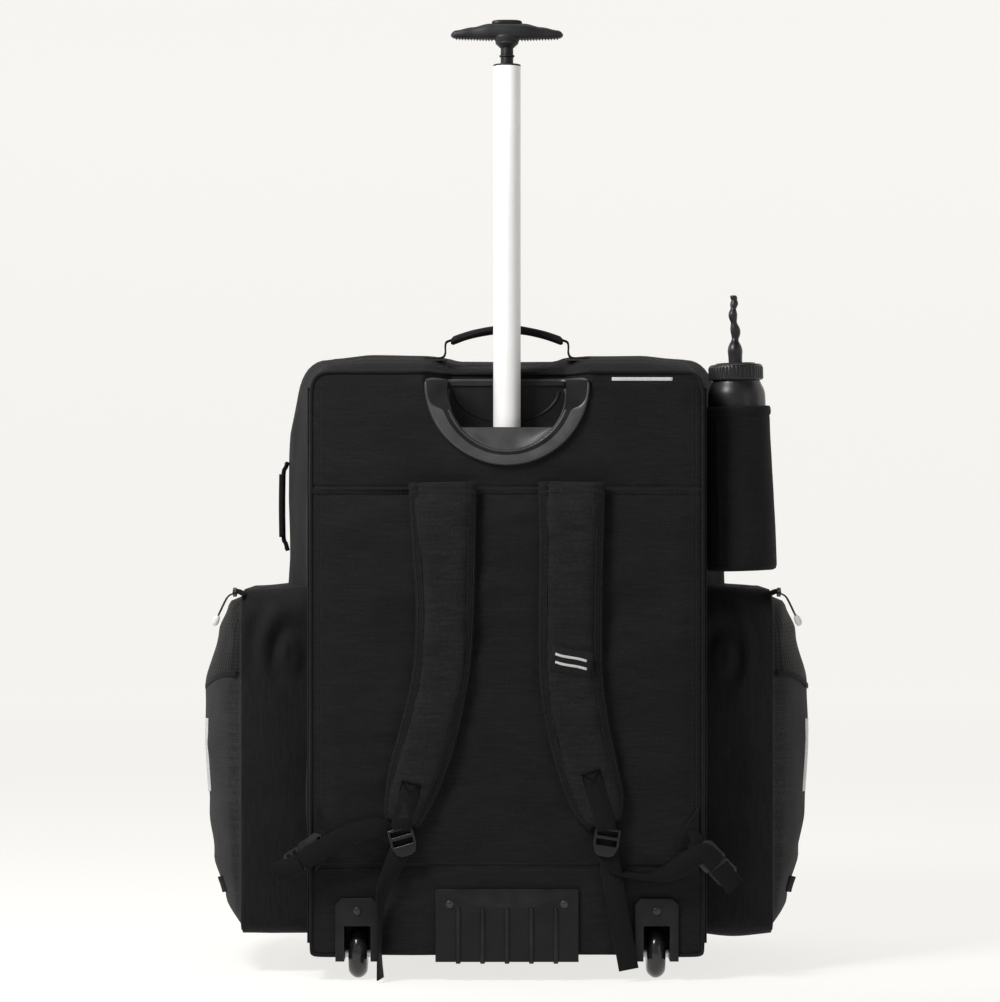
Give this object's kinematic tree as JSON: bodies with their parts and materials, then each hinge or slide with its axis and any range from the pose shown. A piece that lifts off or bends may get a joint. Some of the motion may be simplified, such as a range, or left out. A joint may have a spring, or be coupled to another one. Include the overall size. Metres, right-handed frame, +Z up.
{
  "type": "wheeled equipment bag",
  "caption": "Upright wheeled equipment backpack with a telescopic T handle, shoulder straps, side pockets, grab handles and a bottle in a sleeve.",
  "frame": {"origin": "on the floor, under the middle of the bag's overall box, with the wheels and the front feet at z = 0", "axes": "+Z up along the telescopic handle, -Y towards the side with the straps and the wheels, +X to the right for someone who looks at the straps"},
  "size_m": [0.783, 0.4179, 1.2056],
  "materials": {
    "pack_cloth": "matte heavy woven polyester",
    "side_cloth": "matte woven polyester, a little greyer",
    "pad_cloth": "matte woven cover over foam",
    "webbing": "ribbed nylon webbing",
    "board": "extruded board",
    "moulding": "fine grained moulding",
    "buckle_plastic": "satin acetal",
    "pole_metal": "satin anodised",
    "inner_metal": "mill",
    "steel": "zinc plated",
    "rivet_metal": "dark painted",
    "tyre_rubber": "cast polyurethane, glossy with wear",
    "hub_plastic": "moulded",
    "bottle_plastic": "smoked glossy",
    "cap_plastic": "satin, ribbed"
  },
  "bodies": {
    "bag": {"back_panel": "pack_cloth", "back_board": "board", "side_panel_left": "side_cloth", "side_panel_right": "side_cloth", "top_panel": "pack_cloth", "bottom_panel": "pack_cloth", "base_board": "board", "front_frame": "pack_cloth", "handle_scoop": "moulding", "outer_tube": "inner_metal", "tube_base_socket": "moulding", "tube_guide_bush": "moulding", "wheel_housing_left": "moulding", "wheel_housing_right": "moulding", "wheel_axles": "steel", "rivets": "rivet_metal", "kick_plate": "moulding", "front_feet": "moulding", "side_handle": "webbing", "corner_tabs": "pack_cloth", "top_handle_tabs": "moulding", "top_handle_strap": "webbing", "buckle_socket_left": "buckle_plastic", "buckle_socket_right": "buckle_plastic", "buckle_clip_left": "buckle_plastic", "buckle_clip_right": "buckle_plastic", "strap_webbing_left": "webbing", "strap_webbing_right": "webbing", "skate_pocket_left": "side_cloth", "skate_pocket_right": "side_cloth", "bottle_sleeve": "pack_cloth"},
    "pole": {"pole_tube": "pole_metal", "pole_foot_bush": "moulding", "grip_neck": "moulding", "grip_body": "moulding", "button_spring": "steel", "lock_spring": "steel"},
    "button": {"release_button": "moulding", "release_rod": "inner_metal"},
    "pin": {"lock_pin": "steel"},
    "wheel_left": {"tyre_left": "tyre_rubber", "hub_left": "hub_plastic", "bearings_left": "steel"},
    "wheel_right": {"tyre_right": "tyre_rubber", "hub_right": "hub_plastic", "bearings_right": "steel"},
    "grab_handle": {"top_handle_grip": "pack_cloth"},
    "strap_left": {"shoulder_pad_left": "pad_cloth", "ladder_lock_left": "buckle_plastic"},
    "strap_right": {"shoulder_pad_right": "pad_cloth", "ladder_lock_right": "buckle_plastic"},
    "door": {"front_door": "pack_cloth"},
    "door_slider": {"door_zip_slider": "steel"},
    "flap_left": {"pocket_flap_left": "side_cloth"},
    "flap_right": {"pocket_flap_right": "side_cloth"},
    "slider_left": {"pocket_zip_slider_left": "steel"},
    "slider_right": {"pocket_zip_slider_right": "steel"},
    "bottle": {"bottle_body": "bottle_plastic", "bottle_straw": "cap_plastic"},
    "bottle_cap": {"bottle_cap": "cap_plastic"}
  },
  "joints": [
    {"name": "pole_slide", "type": "slide", "parent": "bag", "child": "pole", "axis": [0, 0, 1], "range_m": [-0.45, 0]},
    {"name": "button_press", "type": "slide", "parent": "pole", "child": "button", "axis": [0, 0, -1], "range_m": [0, 0.004], "stiffness_N_per_m": 1500, "springref_m": -0.002, "deforming": ["button_spring"]},
    {"name": "pin_retract", "type": "slide", "parent": "pole", "child": "pin", "axis": [0, -1, 0], "range_m": [0, 0.004], "deforming": ["lock_spring"]},
    {"name": "wheel_left_spin", "type": "hinge", "parent": "bag", "child": "wheel_left", "pos_m": [-0.187, -0.157, 0.032], "axis": [1, 0, 0], "continuous": true},
    {"name": "wheel_right_spin", "type": "hinge", "parent": "bag", "child": "wheel_right", "pos_m": [0.187, -0.157, 0.032], "axis": [1, 0, 0], "continuous": true},
    {"name": "grab_handle_fold", "type": "hinge", "parent": "bag", "child": "grab_handle", "pos_m": [0, -0.111, 0.7808], "axis": [-1, 0, 0], "range_deg": [0, 50], "stiffness_Nm_per_rad": 0.2, "deforming": ["top_handle_strap"]},
    {"name": "strap_left_swing", "type": "hinge", "parent": "bag", "child": "strap_left", "pos_m": [-0.08, -0.193, 0.624], "axis": [-1, 0, 0], "range_deg": [0, 12], "deforming": ["strap_webbing_left"]},
    {"name": "strap_right_swing", "type": "hinge", "parent": "bag", "child": "strap_right", "pos_m": [0.081, -0.193, 0.624], "axis": [-1, 0, 0], "range_deg": [0, 12], "deforming": ["strap_webbing_right"]},
    {"name": "door_open", "type": "hinge", "parent": "bag", "child": "door", "pos_m": [0, 0.204, 0.0855], "axis": [-1, 0, 0], "range_deg": [0, 93]},
    {"name": "door_zip", "type": "slide", "parent": "door", "child": "door_slider", "axis": [1, 0, 0], "range_m": [-0.13, 0.13]},
    {"name": "flap_left_open", "type": "hinge", "parent": "bag", "child": "flap_left", "pos_m": [-0.33625, -0.129, 0.2685], "axis": [0, 0, 1], "range_deg": [0, 70]},
    {"name": "flap_right_open", "type": "hinge", "parent": "bag", "child": "flap_right", "pos_m": [0.33625, -0.129, 0.2685], "axis": [0, 0, -1], "range_deg": [0, 70]},
    {"name": "zip_left_slide", "type": "slide", "parent": "flap_left", "child": "slider_left", "axis": [0, 1, 0], "range_m": [0, 0.23]},
    {"name": "zip_right_slide", "type": "slide", "parent": "flap_right", "child": "slider_right", "axis": [0, 1, 0], "range_m": [0, 0.23]},
    {"name": "bottle_lift", "type": "slide", "parent": "bag", "child": "bottle", "axis": [-0.0314, 0, 0.9995], "range_m": [0, 0.26]},
    {"name": "cap_turn", "type": "hinge", "parent": "bottle", "child": "bottle_cap", "pos_m": [0.299, -0.117, 0.512], "axis": [-0.0314, 0, 0.9995], "range_deg": [0, 360]}
  ],
  "couplings": [
    {"joint": "pin_retract", "follows": "button_press", "ratio": 1}
  ]
}
